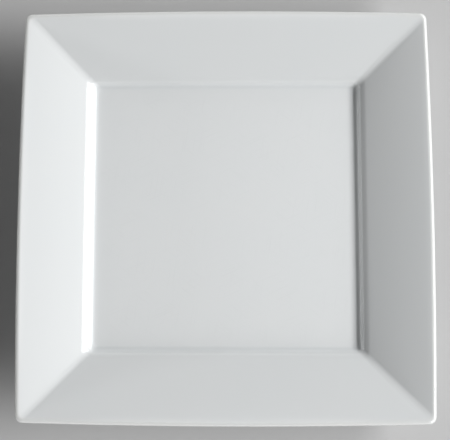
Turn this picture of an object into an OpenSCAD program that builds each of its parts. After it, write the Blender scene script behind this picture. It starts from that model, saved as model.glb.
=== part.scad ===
// Square dinner plate in glazed porcelain, in millimetres.
//
// The plate is one pressed and fired body under a fired glaze. Its foot is wiped clean before the
// firing, so the glaze lies in two separate skins: one over the face, the lip and the back, and
// one on the base inside the foot.
//
// One half section of the plate, from the middle of the well out over the lip and back to the
// middle of the base, is carried round a square outline. Each level has its own outline, straight
// at the well and bowed at the lip, and the four faces of the rim meet in soft creases.

/* [Plate] */
// Width over the middle of two opposite sides, glaze included
plate_w = 270; // [250:1:300]
// Height from the table to the top of the lip, glaze included
plate_h = 28; // [24:0.5:32]
// How far the middle of each side bulges past its ends
lip_bow = 1.8; // [0:0.1:3]
// Radius of the plate's corners, seen from above
lip_corner_r = 4.6; // [3:0.1:9]

/* [Rim] */
// Wall of the rim beside the verge
rim_t = 4.4; // [3.5:0.1:6]
// How far the middle of the rim's face stands above a straight line across it
rim_camber = 0.5; // [0:0.1:1]
// Wall of the rim at the lip
lip_t = 5.2; // [4:0.1:7]
// Radius that rolls over the top of the lip
lip_roll_r = 2.3; // [1.5:0.1:4]
// Radius under the lip
lip_under_r = 1.4; // [0.5:0.1:2.5]

/* [Well] */
// Width of the flat floor
well_w = 174; // [140:1:184]
// Wall of the floor
floor_t = 4.4; // [3.5:0.1:6]
// Corner radius of the flat floor, seen from above
well_corner_r = 3.6; // [2:0.1:12]

/* [Verge] */
// Height of the step from the floor up to the rim
verge_rise = 4.8; // [3:0.1:8]
// Steepness of the step, in degrees
verge_angle = 64; // [45:1:70]
// Radius of the hollow at the foot of the step
verge_cove_r = 4.6; // [2:0.1:8]
// Radius of the brow at the head of the step
verge_brow_r = 3.5; // [1:0.1:8]
// How far down the step its brow starts, below where step and rim would meet
verge_brow_drop = 1.15; // [0.5:0.05:2]
// Radius of the gentle shoulder that eases the brow into the rim
shoulder_r = 12; // [4:0.5:20]

/* [Back] */
// Radius of the hollow where the base turns up into the back of the rim
haunch_cove_r = 6; // [3:0.5:12]
// Radius of the brow where the step ends on the back of the rim
haunch_brow_r = 6; // [3:0.5:12]

/* [Foot] */
// Height of the foot below the base
foot_h = 3; // [2:0.1:6]
// Width of the bare land that the plate stands on
foot_land = 3.6; // [2.5:0.1:8]
// How far the foot stands inside the edge of the well's floor, so that plates stack
foot_inset = 4; // [2:0.1:12]
// Slope of the foot's sides from upright, in degrees
foot_draft = 12; // [3:1:25]
// Outer corner radius of the land, seen from above
foot_corner_r = 9; // [7:0.1:16]
// Radius along both edges of the land
foot_edge_r = 0.5; // [0.2:0.05:0.8]
// Radius of the hollows where the foot's sides meet the base
foot_cove_r = 1.2; // [0.5:0.1:1.6]

/* [Glaze] */
// Thickness of the fired glaze
glaze_t = 0.3; // [0.15:0.05:0.5]
// Height above the table at which the glaze stops
glaze_stop = 0.9; // [0.8:0.05:1.1]

/* [Fineness] */
// Pieces in each bowed side of an outline
side_steps = 6; // [2:2:8]
// Pieces in each round corner of an outline
corner_steps = 6; // [2:2:8]
// Largest turn along a fillet of the section, in degrees
turn_step = 18; // [12:1:30]
// Largest turn along a fillet of the foot, in degrees
foot_turn_step = 27; // [15:1:45]
// Pieces in the camber of the rim
camber_steps = 3; // [1:1:6]

/* [Hidden] */

porcelain_colour = [0.90, 0.89, 0.86];
glaze_colour = [0.93, 0.94, 0.94];

// Largest share of a straight run of the section that the fillets at its two ends may take
fillet_share = 0.96;
// Share of the rim's face that the camber bends
camber_share = 0.78;
// Share of the turn between the step and the rim that the shoulder makes, above the brow
shoulder_turn_share = 0.3;

// Half widths and levels of the fired body, under the glaze
body_a = plate_w / 2 - glaze_t;
body_top = plate_h - glaze_t;
well_a = well_w / 2;
floor_top = foot_h + floor_t;
foot_outer = well_a - foot_inset;
foot_inner = foot_outer - foot_land;

// Corners of the section before they are rounded, as [distance from the middle, height]
verge_foot = [well_a + verge_cove_r * tan(verge_angle / 2), floor_top];
verge_brow = verge_foot + [verge_rise / tan(verge_angle), verge_rise];

// The rim's face runs from the brow of the verge over its camber to touch the roll of the lip
lip_roll_centre = [body_a - lip_roll_r, body_top - lip_roll_r];
function touching_angle(from) =
    let (way = lip_roll_centre - from) atan2(way[1], way[0]) + asin(lip_roll_r / norm(way));
chord_angle = touching_angle(verge_brow);
half_rim = norm(lip_roll_centre - verge_brow) / 2;
rim_crown = verge_brow + half_rim * [cos(chord_angle), sin(chord_angle)]
    + 2 * rim_camber * [-sin(chord_angle), cos(chord_angle)];
rim_angle = touching_angle(rim_crown);
camber_turn = 2 * atan(2 * rim_camber / half_rim);
camber_r = rim_camber == 0 ? 0 : camber_share * half_rim / tan(camber_turn / 2);
lip_top = [body_a, rim_crown[1] + (body_a - rim_crown[0]) * tan(rim_angle)];
lip_under = lip_top - [0, lip_t / cos(rim_angle)];

// The shoulder cuts the corner between the step and the rim, at a slope between theirs
rim_start_angle = atan2(rim_crown[1] - verge_brow[1], rim_crown[0] - verge_brow[0]);
shoulder_angle = rim_start_angle + shoulder_turn_share * (verge_angle - rim_start_angle);
shoulder_foot = verge_brow - verge_brow_drop * [cos(verge_angle), sin(verge_angle)];
shoulder_reach =
    verge_brow_drop * sin(verge_angle - shoulder_angle) / sin(shoulder_angle - rim_start_angle);
shoulder_head = verge_brow + shoulder_reach * [cos(rim_start_angle), sin(rim_start_angle)];

// The back follows the face at the thickness of the wall
haunch_angle = (verge_angle + chord_angle) / 2;
haunch_brow = verge_brow
    + rim_t / cos((verge_angle - chord_angle) / 2) * [sin(haunch_angle), -cos(haunch_angle)];
haunch_foot = [verge_foot[0] + floor_t * tan(verge_angle / 2), foot_h];

// A point on the foot's outer or inner side, at a height above the table
function foot_outside(height) = [foot_outer + height * tan(foot_draft), height];
function foot_inside(height) = [foot_inner - height * tan(foot_draft), height];

// Corners of the half section, each [point, fillet radius, largest turn, share of the glaze].
// The first and the last one are the middle of the well and of the base, and are not drawn.
face_corners = [
    [[0, floor_top], 0, turn_step, 1],
    [verge_foot, verge_cove_r, turn_step, 1],
    [shoulder_foot, verge_brow_r, turn_step, 1],
    [shoulder_head, shoulder_r, turn_step, 1],
    [rim_crown, camber_r, camber_turn / camber_steps, 1],
    [lip_top, lip_roll_r, turn_step, 1],
    [lip_under, lip_under_r, turn_step, 1],
    [haunch_brow, haunch_brow_r, turn_step, 1],
    [haunch_foot, haunch_cove_r, turn_step, 1],
    [foot_outside(foot_h), foot_cove_r, foot_turn_step, 1],
    [foot_outside(glaze_stop + glaze_t), 0, foot_turn_step, 1],
    [foot_outside(glaze_stop), 0, foot_turn_step, 0],
];
land_corners = [
    [foot_outside(0), foot_edge_r, foot_turn_step, 0],
    [foot_inside(0), foot_edge_r, foot_turn_step, 0],
];
base_corners = [
    [foot_inside(glaze_stop), 0, foot_turn_step, 0],
    [foot_inside(glaze_stop + glaze_t), 0, foot_turn_step, 1],
    [foot_inside(foot_h), foot_cove_r, foot_turn_step, 1],
    [[0, foot_h], 0, foot_turn_step, 1],
];
section = concat(face_corners, land_corners, base_corners);
outer_stop = len(face_corners) - 1;
inner_stop = outer_stop + len(land_corners) + 1;
last_corner = len(section) - 2;

// Length and heading of the straight run that leaves a corner of the section, and the turn at it
function run(i) = section[i + 1][0] - section[i][0];
function heading(i) = atan2(run(i)[1], run(i)[0]);
function turn_at(i) =
    let (turn = heading(i) - heading(i - 1)) turn > 180 ? turn - 360 : turn < -180 ? turn + 360 : turn;

// Length of the two straight runs that a fillet takes, and the share of it that both runs can give
function reach(i) =
    i < 1 || i > last_corner ? 0 : section[i][1] * tan(abs(turn_at(i)) / 2);
function run_share(i) =
    let (taken = reach(i) + reach(i + 1))
    taken == 0 ? 1 : min(1, fillet_share * norm(run(i)) / taken);

// Outward direction of a run with this heading
function outward(angle) = [-sin(angle), cos(angle)];

// Stations along the fillet at one corner, each [point, outward direction, share of the glaze]
function stations_at(i) =
    let (
        angle = heading(i - 1),
        turn = turn_at(i),
        share = min(run_share(i - 1), run_share(i)),
        radius = section[i][1] * share,
        side = turn < 0 ? 1 : -1,
        start = section[i][0] - reach(i) * share * [cos(angle), sin(angle)],
        centre = start - side * radius * outward(angle),
        steps = radius == 0 ? 0 : ceil(abs(turn) / section[i][2])
    )
    [for (k = [0:steps])
        let (out = outward(steps == 0 ? angle + turn / 2 : angle + turn * k / steps))
        [centre + side * radius * out, out, section[i][3]]];
function stations(first, last) = [for (i = [first:last]) each stations_at(i)];

// Corner radius and bow of the outline at a distance from the middle, on the face and on the back
face_outlines = [[well_a, [well_corner_r, 0]], [body_a, [lip_corner_r - glaze_t, lip_bow]]];
back_outlines = [
    [foot_inner, [foot_corner_r - foot_land, 0]],
    [foot_outer, [foot_corner_r, 0]],
    [body_a, [lip_corner_r - glaze_t, lip_bow]],
];
function column(table, i) = [for (row = table) [row[0], row[1][i]]];
function outline_shape(station) =
    let (table = station[0][1] < lip_under[1] || station[1][1] < 0 ? back_outlines : face_outlines)
    [for (i = [0, 1]) lookup(station[0][0], column(table, i))];

// Outline of one level, anticlockwise from above: a square of half width a at mid side, whose
// sides are shallow curves that run smoothly into round corners
function outline(a, corner_r, bow, height) =
    let (
        slant = atan(2 * bow / (a - corner_r - bow)),
        corner_mid = (a - corner_r * (cos(slant) + sin(slant) * tan(slant) / 2)) / (1 + tan(slant) / 2),
        side_end = corner_mid + corner_r * sin(slant),
        side_bow = side_end * tan(slant) / 2,
        side = [for (i = [0:side_steps - 1])
            let (along = 2 * i / side_steps - 1) [a - side_bow * along * along, side_end * along]],
        corner = [for (i = [0:corner_steps - 1])
            let (angle = slant + (90 - 2 * slant) * i / corner_steps)
            [corner_mid + corner_r * cos(angle), corner_mid + corner_r * sin(angle)]]
    )
    [for (quarter = [0:3], p = concat(side, corner))
        let (c = cos(90 * quarter), s = sin(90 * quarter))
        [c * p[0] - s * p[1], s * p[0] + c * p[1], height]];

// Outline of the body at a station, and of a skin that lies this thick on it
function ring(station, skin) =
    let (
        lift = skin * station[2] * station[1],
        shape = outline_shape(station)
    )
    outline(station[0][0] + lift[0], shape[0] + lift[0], shape[1], station[0][1] + lift[1]);

function reversed(list) = [for (i = [len(list) - 1:-1:0]) list[i]];
function all_but_last(list) = [for (i = [0:len(list) - 2]) list[i]];

// The two triangles of a quad of a solid, split along its shorter diagonal
function split_quad(points, a, b, c, d) =
    norm(points[a] - points[c]) < norm(points[b] - points[d])
        ? [[a, b, c], [a, c, d]]
        : [[a, b, d], [b, c, d]];

// Closed solid through a list of outlines, the first one capped upwards and the last one downwards
module loft(rings) {
    n = len(rings[0]);
    last = len(rings) - 1;
    points = concat([for (r = rings) each r], [[0, 0, rings[0][0][2]], [0, 0, rings[last][0][2]]]);
    upper_mid = n * (last + 1);
    walls = [for (k = [0:last - 1], i = [0:n - 1])
        let (j = (i + 1) % n, here = n * k, next = here + n)
        each split_quad(points, here + i, here + j, next + j, next + i)];
    caps = [for (i = [0:n - 1])
        let (j = (i + 1) % n)
        each [[upper_mid, j, i], [upper_mid + 1, n * last + i, n * last + j]]];
    polyhedron(points = points, faces = concat(walls, caps), convexity = 6);
}

// Fired body, from the well over the lip to the back, the bare land of the foot and the base
module porcelain_body() {
    color(porcelain_colour)
        loft([for (s = stations(1, last_corner)) ring(s, 0)]);
}

// Glaze over the face, the lip and the back, down to its stop on the outer side of the foot
module outer_glaze() {
    covered = stations(1, outer_stop);
    color(glaze_colour)
        loft(concat(
            [for (s = all_but_last(covered)) ring(s, glaze_t)],
            [for (s = reversed(covered)) ring(s, 0)]
        ));
}

// Glaze on the base, up to its stop on the inner side of the foot
module base_glaze() {
    covered = reversed(stations(inner_stop, last_corner));
    color(glaze_colour)
        loft(concat(
            [for (s = covered) ring(s, 0)],
            [for (s = reversed(all_but_last(covered))) ring(s, glaze_t)]
        ));
}

porcelain_body();
outer_glaze();
base_glaze();
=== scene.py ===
import math

import bpy
import numpy as np
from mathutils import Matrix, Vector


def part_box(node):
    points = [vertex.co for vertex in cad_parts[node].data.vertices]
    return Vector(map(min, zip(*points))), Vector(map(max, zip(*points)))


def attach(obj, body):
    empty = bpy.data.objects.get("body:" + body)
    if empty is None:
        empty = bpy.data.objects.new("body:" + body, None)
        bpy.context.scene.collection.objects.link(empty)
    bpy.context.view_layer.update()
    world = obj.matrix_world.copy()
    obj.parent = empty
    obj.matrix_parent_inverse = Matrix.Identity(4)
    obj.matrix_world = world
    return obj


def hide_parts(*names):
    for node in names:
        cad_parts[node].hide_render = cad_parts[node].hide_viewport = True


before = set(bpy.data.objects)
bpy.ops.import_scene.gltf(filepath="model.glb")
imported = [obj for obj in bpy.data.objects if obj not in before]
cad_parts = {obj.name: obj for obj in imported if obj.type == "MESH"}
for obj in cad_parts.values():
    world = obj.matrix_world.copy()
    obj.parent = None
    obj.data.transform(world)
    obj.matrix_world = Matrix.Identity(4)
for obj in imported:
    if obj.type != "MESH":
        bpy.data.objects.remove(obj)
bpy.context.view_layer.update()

# The porcelain body: one piece of white clay, pressed between two moulds and fired. Well, verge,
# rim, rolled lip, back and foot ring are all one solid. Glaze hides all of it but the foot ring,
# which is wiped clean so that the plate doesn't stick to the kiln shelf.

MM = 0.001
GLAZE = 0.3 * MM
WELL_HALF = 87.0 * MM
FLOOR_WALL = 4.4 * MM
VERGE_RISE = 4.8 * MM
VERGE_SLOPE = math.radians(64)
VERGE_COVE = 4.6 * MM
BROW_ROUND = 3.5 * MM
# How far the brow's corner lies down the verge from its head
BROW_DROP = 1.15 * MM
SHOULDER_ROUND = 12.0 * MM
# Share of the way from the rim's slope to the verge's that the shoulder has turned
SHOULDER_SHARE = 0.3
RIM_WALL = 4.4 * MM
RIM_CAMBER = 0.5 * MM
# Share of the rim's width, about, that its cambered arc takes up
CAMBER_SHARE = 0.78
LIP_WALL = 5.2 * MM
LIP_ROLL = 2.3 * MM
LIP_UNDER = 1.4 * MM
HAUNCH_COVE = 6.0 * MM
HAUNCH_BROW = 6.0 * MM
FOOT_HEIGHT = 3.0 * MM
FOOT_INSET = 4.0 * MM
FOOT_LAND = 3.6 * MM
FOOT_DRAFT = math.radians(12)
FOOT_EDGE = 0.5 * MM
FOOT_COVE = 1.2 * MM

# The glaze's highest corner gives the plate's half width and its height
glaze_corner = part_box("outer_glaze")[1]
body_half = glaze_corner.x - GLAZE
body_top = glaze_corner.z - GLAZE
foot_half = WELL_HALF - FOOT_INSET
base_half = foot_half - FOOT_LAND


def direction(angle):
    """Unit step along a line of the section at this angle from level."""
    return np.array([math.cos(angle), math.sin(angle)])


def touching(point, centre, radius):
    """Angle of the line from a point that touches a circle from above."""
    way = centre - point
    return math.atan2(way[1], way[0]) + math.asin(radius / np.hypot(*way))


def section_corners():
    """Corners of the half section, each a distance from the middle and a height, with their fillet
    radii, from the middle of the well out over the lip and back to the middle of the base."""
    floor = FOOT_HEIGHT + FLOOR_WALL
    verge_foot = np.array([WELL_HALF + VERGE_COVE * math.tan(VERGE_SLOPE / 2), floor])
    verge_head = verge_foot + VERGE_RISE * np.array([1 / math.tan(VERGE_SLOPE), 1])
    roll = np.array([body_half - LIP_ROLL, body_top - LIP_ROLL])
    chord = touching(verge_head, roll, LIP_ROLL)
    half_rim = np.hypot(*(roll - verge_head)) / 2
    rim_start = chord + math.atan(2 * RIM_CAMBER / half_rim)
    crown = verge_head + half_rim / math.cos(rim_start - chord) * direction(rim_start)
    camber = CAMBER_SHARE * half_rim / math.tan(rim_start - chord)
    shoulder = rim_start + SHOULDER_SHARE * (VERGE_SLOPE - rim_start)
    shoulder_reach = BROW_DROP * math.sin(VERGE_SLOPE - shoulder) / math.sin(shoulder - rim_start)
    brow = verge_head - BROW_DROP * direction(VERGE_SLOPE)
    rim_edge = verge_head + shoulder_reach * direction(rim_start)
    slope = touching(crown, roll, LIP_ROLL)
    lip = np.array([body_half, crown[1] + (body_half - crown[0]) * math.tan(slope)])
    under = lip - [0, LIP_WALL / math.cos(slope)]
    bend = (VERGE_SLOPE + chord) / 2
    haunch_brow = verge_head + (RIM_WALL / math.cos((VERGE_SLOPE - chord) / 2)
                                * direction(bend - math.pi / 2))
    haunch_foot = [verge_foot[0] + FLOOR_WALL * math.tan(VERGE_SLOPE / 2), FOOT_HEIGHT]
    draft = FOOT_HEIGHT * math.tan(FOOT_DRAFT)
    corners = [[0, floor], verge_foot, brow, rim_edge, crown, lip, under, haunch_brow,
               haunch_foot, [foot_half + draft, FOOT_HEIGHT], [foot_half, 0], [base_half, 0],
               [base_half - draft, FOOT_HEIGHT], [0, FOOT_HEIGHT]]
    radii = [0, VERGE_COVE, BROW_ROUND, SHOULDER_ROUND, camber, LIP_ROLL, LIP_UNDER, HAUNCH_BROW,
             HAUNCH_COVE, FOOT_COVE, FOOT_EDGE, FOOT_EDGE, FOOT_COVE, 0]
    return np.array(corners, float), np.array(radii, float)


# Points on each fillet of the section
FILLET_POINTS = 64


def filleted(corners, radii):
    """A line whose corners give way to arcs: start on the run before, then r sin(t turn) along it
    and r (1 - cos(t turn)) square to it, for t from 0 to 1."""
    run = np.diff(corners, axis=0)
    run /= np.linalg.norm(run, axis=1)[:, None]
    before, after = run[:-1, None], run[1:, None]
    turn = np.arccos((before * after).sum(2))[:, :, None]
    square = (after - before * np.cos(turn)) / np.sin(turn)
    radius = radii[1:-1, None, None]
    t = np.linspace(0, 1, FILLET_POINTS)[:, None] * turn
    arcs = (corners[1:-1, None] - radius * np.tan(turn / 2) * before
            + radius * (np.sin(t) * before + (1 - np.cos(t)) * square))
    return np.concatenate([corners[:1], arcs.reshape(-1, 2), corners[-1:]])


# Points along the section lie this far apart before the stations are picked
FINE = 0.05 * MM
# Clay and mould leave no sudden change of curve: each point is a mean over about this length
SOFTENING = 0.35 * MM


def bell_mean(values, width):
    """Mean of each value's neighbours along the section, weighted by exp(-d^2 / 2 width^2)."""
    n = int(3 * width / FINE)
    bell = np.exp(-0.5 * (np.arange(-n, n + 1) * FINE / width) ** 2)
    padded = np.pad(values, n, "reflect", reflect_type="odd")
    return np.convolve(padded, bell / bell.sum(), "valid")


def softened(line):
    """The line at even steps, with each coordinate its bell mean along the line."""
    length = np.concatenate([[0], np.cumsum(np.linalg.norm(np.diff(line, axis=0), axis=1))])
    at = np.linspace(0, length[-1], int(length[-1] / FINE))
    return np.stack([bell_mean(np.interp(at, length, c), SOFTENING) for c in line.T], 1)


section = softened(filleted(*section_corners()))
heading = np.unwrap(np.arctan2(*np.gradient(section, axis=0).T[::-1]))
outward = np.stack([-np.sin(heading), np.cos(heading)], 1)
bending = np.gradient(heading) / FINE
lip_point = int(np.argmax(section[:, 0]))
last_point = len(section) - 1

# One station for each of these turns along the section, or for each of these lengths if shorter
TURN_PER_STATION = math.radians(3)
LENGTH_PER_STATION = 5 * MM


def stations(first, last):
    """Places along the section between two of its points, even in the sum of turn and length."""
    effort = np.cumsum(np.abs(bending) * FINE / TURN_PER_STATION + FINE / LENGTH_PER_STATION)
    effort = effort[first:last + 1]
    count = int(effort[-1] - effort[0]) + 1
    return np.interp(np.linspace(effort[0], effort[-1], count), effort,
                     np.arange(first, last + 1))


# Points along each side and each corner of an outline
SIDE_POINTS = 14
CORNER_POINTS = 16
# Power of the corner's curve: 2 is a round one, and a little more starts to bend more gently
CORNER_POWER = 2.3


def outline(half, corner, bow):
    """Levels of the plate as rows of x and y. A side is a parabola, x = half - rise (y / end)^2. A
    corner lies on its two tangents as (1 - sin^p t) back along one and (1 - cos^p t) on along the
    other, which is a superellipse."""
    half, corner, bow = (np.asarray(v, float)[:, None] for v in (half, corner, bow))
    slant = np.arctan2(2 * bow, half - corner - bow)
    same_tip = (1 - 2 ** -0.5) / (1 - 2 ** (-1 / CORNER_POWER))
    reach = corner * same_tip * np.tan(math.pi / 4 - slant)
    end = (half - reach * (np.sin(slant) + np.cos(slant))) / (1 + np.tan(slant) / 2)
    along = np.linspace(-1, 1, SIDE_POINTS, endpoint=False)
    t = np.linspace(0, math.pi / 2, CORNER_POINTS, endpoint=False)
    back = 1 - np.sin(t) ** (2 / CORNER_POWER)
    on = 1 - np.cos(t) ** (2 / CORNER_POWER)
    knee = end + reach * np.cos(slant)
    x = np.concatenate([half - end * np.tan(slant) / 2 * along ** 2,
                        knee + reach * (np.sin(slant) * back - np.cos(slant) * on)], 1)
    y = np.concatenate([end * along,
                        knee + reach * (np.sin(slant) * on - np.cos(slant) * back)], 1)
    return np.concatenate([x, -y, -x, y], 1), np.concatenate([y, x, -y, -x], 1)


WELL_CORNER = 3.6 * MM
FOOT_CORNER = 9.0 * MM
LIP_CORNER = 4.6 * MM
LIP_BOW = 1.8 * MM


def outline_shape(half, on_back):
    """Corner radius and bow at a half width. Its share of the way from the well or the foot to the
    lip is (half - inner) / (lip - inner). The radius goes by that share from the inner one to the
    lip's, and the bow is that share of the lip's. Across the foot's land, inwards, the radius
    shrinks by as much as the half width does."""
    inner = np.where(on_back, foot_half, WELL_HALF)
    inner_corner = np.where(on_back, FOOT_CORNER - np.clip(foot_half - half, 0, FOOT_LAND),
                            WELL_CORNER)
    share = np.clip((half - inner) / (body_half - inner), 0, 1)
    corner = inner_corner + share * (LIP_CORNER - GLAZE - inner_corner)
    return corner, LIP_BOW * share


def on_ring(at, values):
    """Values known at each point of the section, read at these stations, on a straight line
    between one point and the next."""
    return np.interp(at, np.arange(len(section)), values)


# How far the floor sinks between its edges as the soft clay settles in the kiln
FLOOR_SAG = 0.15 * MM


def carried(at, lift):
    """Rings of the section's points at these stations, each moved out by its lift and carried
    round its own outline, as an array of ring, point and coordinate. Inside the foot, whose half
    width there is w, all sags by its depth times (1 - x^2 / w^2) (1 - y^2 / w^2)."""
    place = np.stack([on_ring(at, c) for c in section.T], 1)
    normal = np.stack([on_ring(at, c) for c in outward.T], 1)
    corner, bow = outline_shape(place[:, 0], at > lip_point)
    spot = place + normal * lift[:, None]
    half = np.maximum(spot[:, 0], 0)
    corner = np.minimum(corner + normal[:, 0] * lift, half / 2)
    x, y = outline(half, corner, bow)
    z = np.repeat(spot[:, 1:], x.shape[1], 1)
    dip = np.clip(1 - (x / base_half) ** 2, 0, 1) * np.clip(1 - (y / base_half) ** 2, 0, 1)
    return np.stack([x, y, z - FLOOR_SAG * dip], 2)


def closed_mesh(name, rings, values):
    """A closed surface through the rings, whose first and last ring have shrunk to points, the
    first one on top. Each of the values is a number for each ring, kept under its own name."""
    count, around = rings.shape[:2]
    points = np.concatenate([rings[:1, 0], rings[1:-1].reshape(-1, 3), rings[-1:, 0]])
    here = 1 + np.arange(around)
    there = np.roll(here, -1)
    row = around * np.arange(count - 3)[:, None]
    walls = np.stack([row + here, row + here + around, row + there + around, row + there], 2)
    last = len(points) - 1
    top = np.stack([0 * here, here, there], 1)
    bottom = np.stack([0 * here + last, there + row[-1] + around, here + row[-1] + around], 1)
    mesh = bpy.data.meshes.new(name)
    mesh.from_pydata(points.tolist(), [],
                     top.tolist() + walls.reshape(-1, 4).tolist() + bottom.tolist())
    mesh.polygons.foreach_set("use_smooth", np.ones(len(mesh.polygons), bool))
    for key, value in values.items():
        spread = np.concatenate([value[:1], np.repeat(value[1:-1], around), value[-1:]])
        mesh.attributes.new(key, "FLOAT", "POINT").data.foreach_set("value", spread)
    piece = bpy.data.objects.new(name, mesh)
    bpy.context.scene.collection.objects.link(piece)
    return piece


# Height up to which tables and other plates rub the foot
LAND_RUB = 0.12 * MM

whole = stations(0, last_point)
rubbed = (section[:, 1] < LAND_RUB).astype(float)
porcelain = closed_mesh("pressed_body", carried(whole, np.zeros(len(whole))),
                        {"rubbed": on_ring(whole, rubbed)})


def new_material(name):
    """A new material, the nodes of its tree and its shader."""
    material = bpy.data.materials.new(name)
    material.use_nodes = True
    return material, material.node_tree, material.node_tree.nodes["Principled BSDF"]


def node(tree, kind, inputs, **settings):
    """A new node whose inputs, by name or number, are values or the sockets that feed them."""
    new = tree.nodes.new("ShaderNode" + kind)
    for key, value in settings.items():
        setattr(new, key, value)
    for key, value in inputs.items():
        if isinstance(value, bpy.types.NodeSocket):
            tree.links.new(value, new.inputs[key])
        else:
            new.inputs[key].default_value = value
    return new


def noise(tree, place, size, detail):
    """Smooth random values from 0 to 1 whose grains are about this size, with finer grains in
    them for each step of detail."""
    return node(tree, "TexNoise", {"Vector": place, "Scale": 1 / size,
                                   "Detail": detail}).outputs[0]


def kept(tree, name):
    """The values that the mesh keeps under this name."""
    return node(tree, "Attribute", {}, attribute_name=name).outputs["Fac"]


def ramp(tree, value, low, high, start=0.0, end=1.0):
    """A value between low and high, brought smoothly to one between start and end."""
    return node(tree, "MapRange", {"Value": value, "From Min": low, "From Max": high,
                                   "To Min": start, "To Max": end},
                interpolation_type="SMOOTHSTEP").outputs[0]


def sum_of(tree, first, second):
    """Two values added."""
    return node(tree, "Math", {0: first, 1: second}, operation="ADD").outputs[0]


def product(tree, first, second):
    """Two values multiplied."""
    return node(tree, "Math", {0: first, 1: second}, operation="MULTIPLY").outputs[0]


def blended(tree, share, first, second):
    """Two colours mixed by the share of the second one."""
    return node(tree, "Mix", {0: share, 6: first, 7: second}, data_type="RGBA").outputs[2]


def raised(tree, shader, height, distance):
    """Lets the shader's surface rise by a height times a distance."""
    bump = node(tree, "Bump", {"Height": height, "Distance": distance, "Strength": 1.0})
    tree.links.new(bump.outputs[0], shader.inputs["Normal"])


BISQUE = (0.80, 0.765, 0.71, 1)
BISQUE_DARK = (0.72, 0.68, 0.62, 1)
RUBBED_GREY = (0.52, 0.51, 0.49, 1)
# Sizes of the clay's grain and clouds, with the steps of detail in each
BISQUE_GRAIN, BISQUE_GRAIN_DETAIL = 0.35 * MM, 3.0
BISQUE_CLOUD, BISQUE_CLOUD_DETAIL = 9 * MM, 4.0
GRAIN_HEIGHT = 0.02 * MM
# Sums of grain and cloud at which the clay starts to darken and is fully dark
DARKENING = (0.8, 1.25)
# Cloud at which the rubbing starts and is full, and how much grey and polish it then gives
RUBBING = (0.42, 0.62)
RUB_STAIN = 0.6
RUB_POLISH = 0.25
# Grain from which to which the clay goes from its least to its most roughness
GRAIN_SPREAD = (0.3, 0.7)
CLAY_ROUGHNESS = (0.72, 0.86)

bare, tree, shader = new_material("bare_porcelain")
place = node(tree, "TexCoord", {}).outputs["Object"]
grain = noise(tree, place, BISQUE_GRAIN, BISQUE_GRAIN_DETAIL)
cloud = noise(tree, place, BISQUE_CLOUD, BISQUE_CLOUD_DETAIL)
rub = product(tree, kept(tree, "rubbed"), ramp(tree, cloud, *RUBBING))
dark = ramp(tree, sum_of(tree, grain, cloud), *DARKENING)
tree.links.new(blended(tree, product(tree, rub, RUB_STAIN),
                       blended(tree, dark, BISQUE, BISQUE_DARK), RUBBED_GREY),
               shader.inputs["Base Color"])
tree.links.new(sum_of(tree, ramp(tree, grain, *GRAIN_SPREAD, *CLAY_ROUGHNESS),
                      product(tree, rub, -RUB_POLISH)), shader.inputs["Roughness"])
raised(tree, shader, grain, GRAIN_HEIGHT)
porcelain.data.materials.append(bare)
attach(porcelain, "root")
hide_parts("porcelain_body")

# The outer glaze: a skin of clear glass over white clay, melted on in the kiln over the face, the
# lip and the back. It draws thin over the lip and the brow, gathers in the hollows, and stops in a
# small round bead on the outer side of the foot.

GLAZE_STOP = 0.9 * MM
# Length of section over which the melted glaze evens itself out
GLAZE_FLOW = 1.2 * MM
# Radius of a hollow or an edge at which the glaze has all of its change of thickness
FLOW_RADIUS = 2.4 * MM
# Share of its thickness that the glaze gains in a hollow and loses on an edge
FLOW_SHARE = 0.2

# Knives and forks mark the floor of the well, and less and less over this width to the verge
SPARED_EDGE = 8 * MM

gathered = np.clip(bell_mean(bending, GLAZE_FLOW) * FLOW_RADIUS, -1, 1)
on_face = np.arange(len(section)) < lip_point
reached = np.clip((WELL_HALF - section[:, 0]) / SPARED_EDGE, 0, 1) * on_face


def glaze_rings(middle, stop):
    """Rings of a skin from the middle of a face to its stop, on its glass side and on its clay
    side, and its stations. At a share d of its thickness from the stop the skin is
    sqrt(2 d - d^2) of it, a quarter circle, and it thickens where it has gathered."""
    at = stations(min(middle, stop), max(middle, stop))
    if middle > stop:
        at = at[::-1]
    d = np.clip(np.abs(at - stop) * FINE / GLAZE, 0, 1)
    cover = GLAZE * np.sqrt(2 * d - d ** 2) * (1 + FLOW_SHARE * on_ring(at, gathered))
    return carried(at, cover), carried(at, 0 * cover), at


def glaze_mesh(name, middle, stop, glass_on_top):
    """A closed skin, from the middle of its upper side round its stop to the middle of its lower
    side."""
    glass, against_clay, at = glaze_rings(middle, stop)
    upper, lower = (glass, against_clay) if glass_on_top else (against_clay, glass)
    there_and_back = np.concatenate([at, at[-2::-1]])
    return closed_mesh(name, np.concatenate([upper, lower[-2::-1]]),
                       {"gathered": on_ring(there_and_back, gathered),
                        "reached": on_ring(there_and_back, reached)})


outer_stop = lip_point + int(np.argmax(section[lip_point:, 1] < GLAZE_STOP))
coat = glaze_mesh("glaze_coat", 0, outer_stop, True)

GLAZE_WHITE = (0.687, 0.704, 0.708, 1)
GLAZE_THICK = (0.668, 0.694, 0.703, 1)
GLAZE_THIN = (0.702, 0.708, 0.698, 1)
SCRATCH_GREY = (0.40, 0.41, 0.42, 1)
# How far glaze has gathered, or drawn off, where its colour starts to change and is fully changed
THICKENING = (0.0, 0.8)
THINNING = (-0.2, -1.0)
# Clouds in the glaze: their size and detail, from where to where they deepen, and how much of the
# thick glaze's colour they then take
CLOUD_SIZE, CLOUD_DETAIL = 40 * MM, 3.0
CLOUD_SPREAD = (0.35, 0.75)
CLOUD_TINT = (0.0, 0.25)
# Cloud from which to which the glaze goes from its least to its most roughness
GLOSS_SPREAD = (0.3, 0.7)
GLAZE_ROUGHNESS = (0.10, 0.14)
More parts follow.
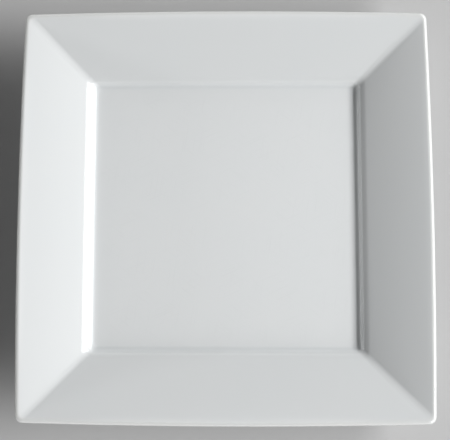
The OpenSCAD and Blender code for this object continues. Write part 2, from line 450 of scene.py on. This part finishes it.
# Slow waves and fine ripple: the sizes of both, the heights of both, and their detail
WAVE_SIZE, RIPPLE_SIZE = 22 * MM, 1.6 * MM
WAVE_HEIGHT, RIPPLE_HEIGHT = 0.05 * MM, 0.0018 * MM
WAVE_DETAIL = 1.0
# Pinholes: the size of the cell that has one, with the hole's radius and depth
PINHOLE_CELL = 14 * MM
PINHOLE_RADIUS = 0.12 * MM
PINHOLE_DEPTH = 0.04 * MM
# Knife marks: turn about +Z in degrees, with how long and how wide the marks of that turn are
SCRATCHES = ((24, 26 * MM, 0.42 * MM), (-38, 19 * MM, 0.36 * MM), (81, 30 * MM, 0.38 * MM))
# Value of the streaks from which to which a mark comes in, and what it adds at its strongest
SCRATCH_EDGE = (0.71, 0.80)
SCRATCH_STAIN = 0.08
SCRATCH_DULLING = 0.12
SCRATCH_DEPTH = 0.003 * MM

glazed, tree, shader = new_material("white_glaze")
place = node(tree, "TexCoord", {}).outputs["Object"]
cloud = noise(tree, place, CLOUD_SIZE, CLOUD_DETAIL)
wave = noise(tree, place, WAVE_SIZE, WAVE_DETAIL)
ripple = noise(tree, place, RIPPLE_SIZE, WAVE_DETAIL)
cells = node(tree, "TexVoronoi", {"Vector": place, "Scale": 1 / PINHOLE_CELL})
pinhole = ramp(tree, cells.outputs["Distance"], 0.0, PINHOLE_RADIUS / PINHOLE_CELL, 1.0, 0.0)
scratch = 0.0
for turn, length, width in SCRATCHES:
    # Stretched along and across its turn, a noise of even grains becomes a field of streaks
    turned = node(tree, "Mapping", {"Vector": place, "Rotation": (0, 0, math.radians(turn)),
                                    "Scale": (length, width, 1)}, vector_type="TEXTURE")
    streak = noise(tree, turned.outputs[0], 1.0, 0.0)
    scratch = sum_of(tree, ramp(tree, streak, *SCRATCH_EDGE), scratch)
scratch = product(tree, scratch, kept(tree, "reached"))
flow = kept(tree, "gathered")
colour = blended(tree, ramp(tree, flow, *THICKENING), GLAZE_WHITE, GLAZE_THICK)
colour = blended(tree, ramp(tree, flow, *THINNING), colour, GLAZE_THIN)
colour = blended(tree, ramp(tree, cloud, *CLOUD_SPREAD, *CLOUD_TINT), colour, GLAZE_THICK)
colour = blended(tree, product(tree, scratch, SCRATCH_STAIN), colour, SCRATCH_GREY)
tree.links.new(colour, shader.inputs["Base Color"])
gloss = ramp(tree, cloud, *GLOSS_SPREAD, *GLAZE_ROUGHNESS)
tree.links.new(sum_of(tree, gloss, product(tree, scratch, SCRATCH_DULLING)),
               shader.inputs["Roughness"])
height = sum_of(tree, product(tree, wave, WAVE_HEIGHT), product(tree, ripple, RIPPLE_HEIGHT))
height = sum_of(tree, height, product(tree, pinhole, -PINHOLE_DEPTH))
height = sum_of(tree, height, product(tree, scratch, -SCRATCH_DEPTH))
# The height is in metres already, so it is taken once
raised(tree, shader, height, 1.0)
coat.data.materials.append(glazed)
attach(coat, "root")
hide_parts("outer_glaze")

# The base glaze: the same glass on the base inside the foot ring. The wiped foot parts it from the
# outer skin, and it too stops in a small round bead.

base_stop = last_point - int(np.argmax(section[::-1, 1] < GLAZE_STOP))
base = glaze_mesh("base_coat", last_point, base_stop, False)
base.data.materials.append(glazed)
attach(base, "root")
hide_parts("base_glaze")

# The floor: one wide round sheet of matt, pale grey paper that the plate stands on. It is cut out
# under the base, where the foot hides its edge, so that the base can be lit and looked at from
# below.

FLOOR_RADIUS = 1.0
# How far the cut-out's edge lies inside the outer edge of the foot's land
CUT_INSET = 2 * FOOT_EDGE
PAPER = (0.55, 0.55, 0.55, 1)
PAPER_DARK = (0.53, 0.53, 0.53, 1)
PAPER_GRAIN, PAPER_DETAIL = 0.8 * MM, 2.0
PAPER_ROUGHNESS = 1.0
PAPER_SHINE = 0.0

# Four-sided faces from the cut-out's outline straight out to a circle
x, y = outline([foot_half - CUT_INSET], [FOOT_CORNER - CUT_INSET], [0])
inner = np.stack([x[0], y[0], 0 * x[0]], 1)
outer = inner * FLOOR_RADIUS / np.linalg.norm(inner, axis=1)[:, None]
here = np.arange(len(inner))
there = np.roll(here, -1)
mesh = bpy.data.meshes.new("floor")
mesh.from_pydata(np.concatenate([inner, outer]).tolist(), [],
                 np.stack([here, here + len(inner), there + len(inner), there], 1).tolist())
floor = bpy.data.objects.new("floor", mesh)
bpy.context.scene.collection.objects.link(floor)
paper, tree, shader = new_material("pale_paper")
place = node(tree, "TexCoord", {}).outputs["Object"]
fibre = noise(tree, place, PAPER_GRAIN, PAPER_DETAIL)
tree.links.new(blended(tree, fibre, PAPER, PAPER_DARK), shader.inputs["Base Color"])
shader.inputs["Roughness"].default_value = PAPER_ROUGHNESS
shader.inputs["Specular IOR Level"].default_value = PAPER_SHINE
# A camera looking up sees through the sheet
one_sided = node(tree, "MixShader", {0: node(tree, "NewGeometry", {}).outputs["Backfacing"],
                                     1: shader.outputs[0],
                                     2: node(tree, "BsdfTransparent", {}).outputs[0]})
tree.links.new(one_sided.outputs[0], tree.nodes["Material Output"].inputs["Surface"])
floor.data.materials.append(paper)

# The light: a long low window on the plate's right, weak panels on its other sides, a white
# ceiling that the glaze mirrors, and an even room. One more panel shines up through the cut-out in
# the floor, on nothing but the base.

LAMP_DISTANCE = 2.6
PANEL_LENGTH = 4.9
CEILING_WIDTH = 1.3
BASE_PANEL_DISTANCE = 0.6
BASE_PANEL_WIDTH = 0.6
# Each lamp: name, azimuth and elevation in degrees, distance, length, height and power
LAMPS = (("window", -3.5, 35.4, LAMP_DISTANCE, 6.8, 0.85, 172),
         ("wall_panel", 180, 8, LAMP_DISTANCE, PANEL_LENGTH, 0.2, 22.5),
         ("back_panel", 90, 10, LAMP_DISTANCE, PANEL_LENGTH, 1.2, 23),
         ("front_panel", -90, 10, LAMP_DISTANCE, PANEL_LENGTH, 1.2, 24),
         ("base_panel", 0, -90, BASE_PANEL_DISTANCE, BASE_PANEL_WIDTH, BASE_PANEL_WIDTH, 3),
         ("ceiling", 90, 85.1, LAMP_DISTANCE, CEILING_WIDTH, CEILING_WIDTH, 6.5))
# Brightness of the room: as light on the plate, and as the backdrop that camera and glaze see
ROOM_LIGHT = 0.02
BACKDROP = 0.5


def lamp(name, azimuth, elevation, distance, length, height, power):
    """A soft light at an azimuth from +X towards +Y and an elevation, turned to the plate."""
    data = bpy.data.lights.new(name, "AREA")
    data.shape = "RECTANGLE"
    data.size, data.size_y = length, height
    data.energy = power
    light = bpy.data.objects.new(name, data)
    a, e = math.radians(azimuth), math.radians(elevation)
    light.location = [distance * math.cos(e) * math.cos(a),
                      distance * math.cos(e) * math.sin(a),
                      distance * math.sin(e) + body_top]
    light.rotation_euler = (math.pi / 2 - e, 0, a + math.pi / 2)
    bpy.context.scene.collection.objects.link(light)
    return light


lights = {settings[0]: lamp(*settings) for settings in LAMPS}
# No real ceiling does this: it shows in gloss and gives the plate no other light
lights["ceiling"].visible_diffuse = False

room = bpy.data.worlds.new("room")
bpy.context.scene.world = room
room.use_nodes = True
tree = room.node_tree
rays = node(tree, "LightPath", {}).outputs
mirrored = sum_of(tree, rays["Is Glossy Ray"], rays["Is Transmission Ray"])
seen = sum_of(tree, rays["Is Camera Ray"], mirrored)
sky = tree.nodes["Background"]
sky.inputs["Color"].default_value = (1, 1, 1, 1)
tree.links.new(ramp(tree, seen, 0.0, 1.0, ROOM_LIGHT, BACKDROP), sky.inputs["Strength"])

# The camera: held by hand over the middle of the plate, and not quite level. Its turns about X, Y
# and Z are in degrees, and its lens and sensor in millimetres.

CAMERA_PLACE = (4.5 * MM, -34.4 * MM, 413 * MM)
CAMERA_TURN = (4.45, 0.66, 0.055)
CAMERA_LENS = 48
SENSOR_WIDTH = 36

data = bpy.data.cameras.new("camera")
data.sensor_width = SENSOR_WIDTH
data.lens = CAMERA_LENS
camera = bpy.data.objects.new("camera", data)
camera.location = CAMERA_PLACE
camera.rotation_euler = [math.radians(turn) for turn in CAMERA_TURN]
bpy.context.scene.collection.objects.link(camera)
bpy.context.scene.camera = camera
bpy.context.scene.view_settings.view_transform = "Standard"
